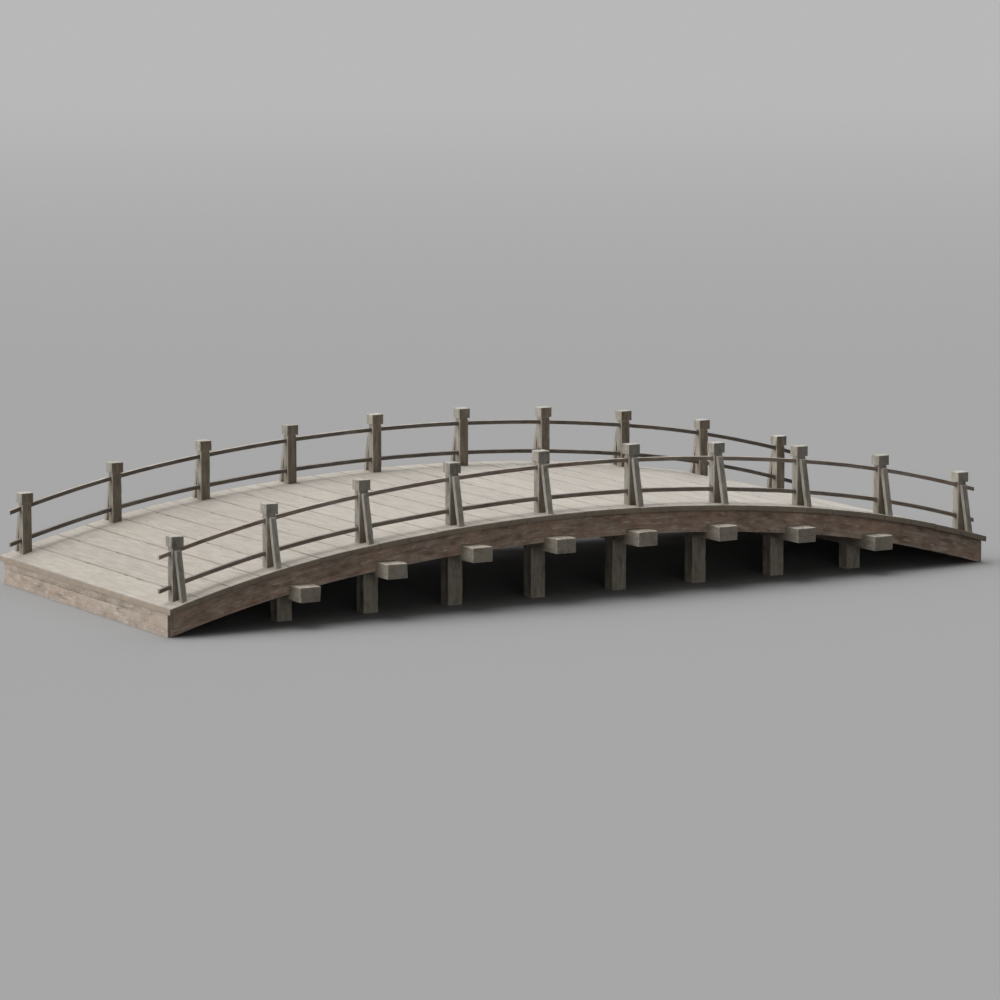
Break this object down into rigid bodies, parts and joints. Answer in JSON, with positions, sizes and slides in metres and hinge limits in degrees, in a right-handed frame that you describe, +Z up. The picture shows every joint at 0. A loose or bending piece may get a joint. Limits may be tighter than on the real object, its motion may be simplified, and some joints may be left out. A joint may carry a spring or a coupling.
{
  "type": "arched timber bridge",
  "caption": "Low arched timber bridge: plank deck on curved beams, level cross beams on square piles, and post-and-rail sides with raking braces.",
  "frame": {"origin": "on the ground under the middle of the deck", "axes": "+X along the bridge to its right end, +Y across it to the back, +Z up"},
  "size_m": [15.024, 6.77, 2.3754],
  "materials": {
    "deck_wood": "matte",
    "header_wood": "matte",
    "beam_wood": "matte",
    "bent_wood": "matte",
    "post_wood": "matte",
    "rail_wood": "matte"
  },
  "bodies": {
    "root": {"deck_boards_left": "deck_wood", "deck_boards_middle": "deck_wood", "deck_boards_right": "deck_wood", "left_end_header": "header_wood", "right_end_header": "header_wood", "front_side_beam": "beam_wood", "front_inner_beam": "beam_wood", "front_braces": "post_wood", "front_top_rail": "rail_wood", "front_low_rail": "rail_wood", "back_side_beam": "beam_wood", "back_inner_beam": "beam_wood", "back_braces": "post_wood", "back_top_rail": "rail_wood", "back_low_rail": "rail_wood", "cross_beam_1": "bent_wood", "pile_pair_1": "bent_wood", "cross_beam_2": "bent_wood", "pile_pair_2": "bent_wood", "cross_beam_3": "bent_wood", "pile_pair_3": "bent_wood", "cross_beam_4": "bent_wood", "pile_pair_4": "bent_wood", "cross_beam_5": "bent_wood", "pile_pair_5": "bent_wood", "cross_beam_6": "bent_wood", "pile_pair_6": "bent_wood", "cross_beam_7": "bent_wood", "pile_pair_7": "bent_wood", "cross_beam_8": "bent_wood", "pile_pair_8": "bent_wood", "post_pair_1": "post_wood", "post_pair_2": "post_wood", "post_pair_3": "post_wood", "post_pair_4": "post_wood", "post_pair_5": "post_wood", "post_pair_6": "post_wood", "post_pair_7": "post_wood", "post_pair_8": "post_wood", "post_pair_9": "post_wood", "post_pair_10": "post_wood"}
  },
  "joints": []
}
